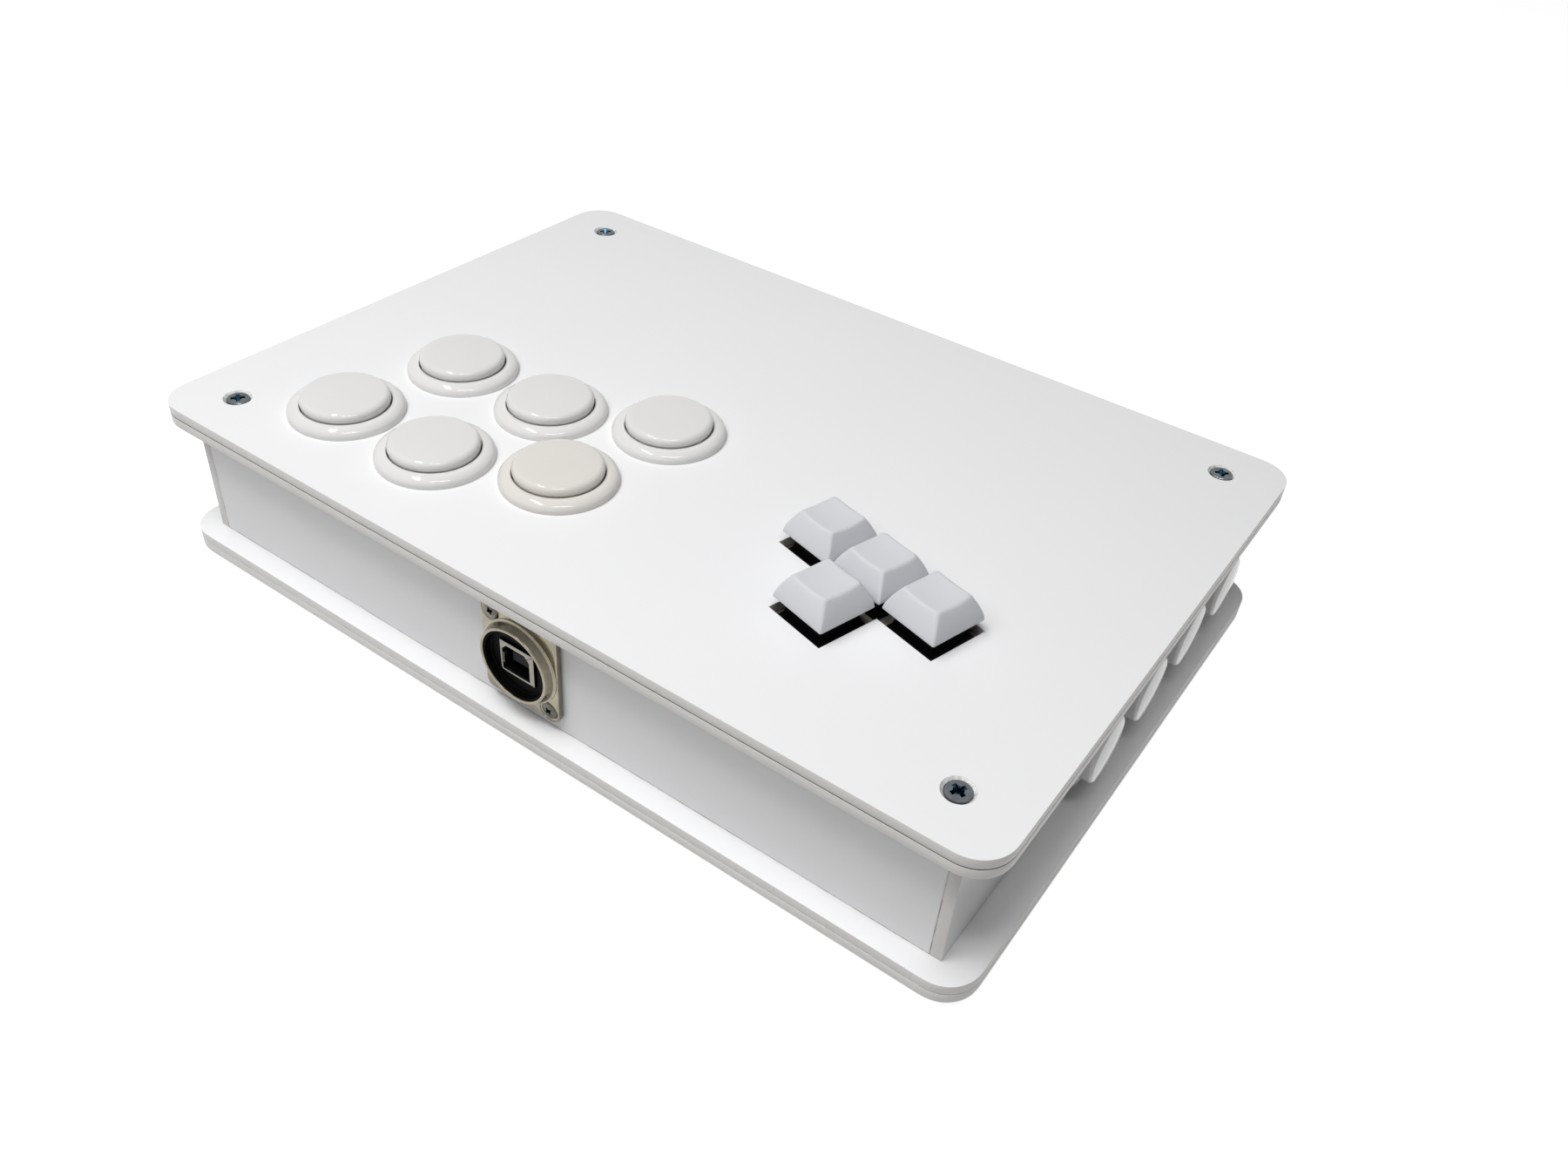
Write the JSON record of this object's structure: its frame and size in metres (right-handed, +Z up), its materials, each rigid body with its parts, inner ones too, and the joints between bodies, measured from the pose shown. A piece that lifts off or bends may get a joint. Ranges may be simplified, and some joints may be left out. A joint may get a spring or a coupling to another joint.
{
  "type": "arcade controller panel",
  "caption": "White acrylic arcade controller box with push buttons, an inverted T of direction keys, side buttons on one end wall and a round USB socket in the back wall.",
  "frame": {"origin": "middle of the footprint, on the surface that the rubber feet stand on", "axes": "+X along the long side, towards the player's right; +Y towards the back wall with the USB socket; +Z up"},
  "size_m": [0.2754, 0.1914, 0.0647],
  "materials": {
    "white_acrylic": "glossy cast sheet, opal white",
    "button_white": "polished moulded plastic",
    "button_cream": "polished moulded plastic",
    "keycap_white": "fine matte moulding texture",
    "housing_black": "satin moulded plastic",
    "stem_brown": "satin moulded plastic",
    "satin_nickel": "satin nickel plate",
    "dark_zinc": "dark zinc plate",
    "aluminium": "turned",
    "rubber": "matte",
    "board_green": "solder mask",
    "foam": "closed-cell foam"
  },
  "bodies": {
    "panel": {"top_sheet": "white_acrylic", "mounting_sheet": "white_acrylic", "bottom_inner_sheet": "white_acrylic", "bottom_outer_sheet": "white_acrylic", "back_wall": "white_acrylic", "front_wall": "white_acrylic", "left_end_wall": "white_acrylic", "right_end_wall": "white_acrylic", "screw_back_left": "dark_zinc", "screw_back_right": "dark_zinc", "screw_front_right": "dark_zinc", "screw_front_left": "dark_zinc", "standoff_back_left": "aluminium", "standoff_back_right": "aluminium", "standoff_front_right": "aluminium", "standoff_front_left": "aluminium", "foot_back_left": "rubber", "foot_back_right": "rubber", "foot_front_right": "rubber", "foot_front_left": "rubber", "button_body_front_left": "button_white", "button_body_front_middle": "button_white", "button_body_front_right": "button_white", "button_body_back_left": "button_cream", "button_body_back_middle": "button_white", "button_body_back_right": "button_white", "side_button_body_1": "button_white", "side_button_body_2": "button_white", "side_button_body_3": "button_white", "side_button_body_4": "button_white", "switch_housing_up": "housing_black", "switch_housing_down": "housing_black", "switch_housing_left": "housing_black", "switch_housing_right": "housing_black", "usb_flange": "satin_nickel", "usb_shell": "satin_nickel", "usb_screw_upper": "satin_nickel", "usb_screw_lower": "satin_nickel", "usb_insert": "housing_black", "controller_board": "board_green", "board_pad": "foam"},
    "plunger_front_left": {"plunger_front_left": "button_white"},
    "plunger_front_middle": {"plunger_front_middle": "button_white"},
    "plunger_front_right": {"plunger_front_right": "button_white"},
    "plunger_back_left": {"plunger_back_left": "button_cream"},
    "plunger_back_middle": {"plunger_back_middle": "button_white"},
    "plunger_back_right": {"plunger_back_right": "button_white"},
    "side_plunger_1": {"side_plunger_1": "button_white"},
    "side_plunger_2": {"side_plunger_2": "button_white"},
    "side_plunger_3": {"side_plunger_3": "button_white"},
    "side_plunger_4": {"side_plunger_4": "button_white"},
    "key_up": {"keycap_up": "keycap_white", "key_stem_up": "stem_brown"},
    "key_down": {"keycap_down": "keycap_white", "key_stem_down": "stem_brown"},
    "key_left": {"keycap_left": "keycap_white", "key_stem_left": "stem_brown"},
    "key_right": {"keycap_right": "keycap_white", "key_stem_right": "stem_brown"}
  },
  "joints": [
    {"name": "press_front_left", "type": "slide", "parent": "panel", "child": "plunger_front_left", "axis": [0, 0, -1], "range_m": [0, 0.003], "stiffness_N_per_m": 150, "springref_m": -0.004},
    {"name": "press_front_middle", "type": "slide", "parent": "panel", "child": "plunger_front_middle", "axis": [0, 0, -1], "range_m": [0, 0.003], "stiffness_N_per_m": 150, "springref_m": -0.004},
    {"name": "press_front_right", "type": "slide", "parent": "panel", "child": "plunger_front_right", "axis": [0, 0, -1], "range_m": [0, 0.003], "stiffness_N_per_m": 150, "springref_m": -0.004},
    {"name": "press_back_left", "type": "slide", "parent": "panel", "child": "plunger_back_left", "axis": [0, 0, -1], "range_m": [0, 0.003], "stiffness_N_per_m": 150, "springref_m": -0.004},
    {"name": "press_back_middle", "type": "slide", "parent": "panel", "child": "plunger_back_middle", "axis": [0, 0, -1], "range_m": [0, 0.003], "stiffness_N_per_m": 150, "springref_m": -0.004},
    {"name": "press_back_right", "type": "slide", "parent": "panel", "child": "plunger_back_right", "axis": [0, 0, -1], "range_m": [0, 0.003], "stiffness_N_per_m": 150, "springref_m": -0.004},
    {"name": "press_side_1", "type": "slide", "parent": "panel", "child": "side_plunger_1", "axis": [1, 0, 0], "range_m": [0, 0.003], "stiffness_N_per_m": 150, "springref_m": -0.004},
    {"name": "press_side_2", "type": "slide", "parent": "panel", "child": "side_plunger_2", "axis": [1, 0, 0], "range_m": [0, 0.003], "stiffness_N_per_m": 150, "springref_m": -0.004},
    {"name": "press_side_3", "type": "slide", "parent": "panel", "child": "side_plunger_3", "axis": [1, 0, 0], "range_m": [0, 0.003], "stiffness_N_per_m": 150, "springref_m": -0.004},
    {"name": "press_side_4", "type": "slide", "parent": "panel", "child": "side_plunger_4", "axis": [1, 0, 0], "range_m": [0, 0.003], "stiffness_N_per_m": 150, "springref_m": -0.004},
    {"name": "press_key_up", "type": "slide", "parent": "panel", "child": "key_up", "axis": [0, 0, -1], "range_m": [0, 0.004], "stiffness_N_per_m": 90, "springref_m": -0.003},
    {"name": "press_key_down", "type": "slide", "parent": "panel", "child": "key_down", "axis": [0, 0, -1], "range_m": [0, 0.004], "stiffness_N_per_m": 90, "springref_m": -0.003},
    {"name": "press_key_left", "type": "slide", "parent": "panel", "child": "key_left", "axis": [0, 0, -1], "range_m": [0, 0.004], "stiffness_N_per_m": 90, "springref_m": -0.003},
    {"name": "press_key_right", "type": "slide", "parent": "panel", "child": "key_right", "axis": [0, 0, -1], "range_m": [0, 0.004], "stiffness_N_per_m": 90, "springref_m": -0.003}
  ]
}
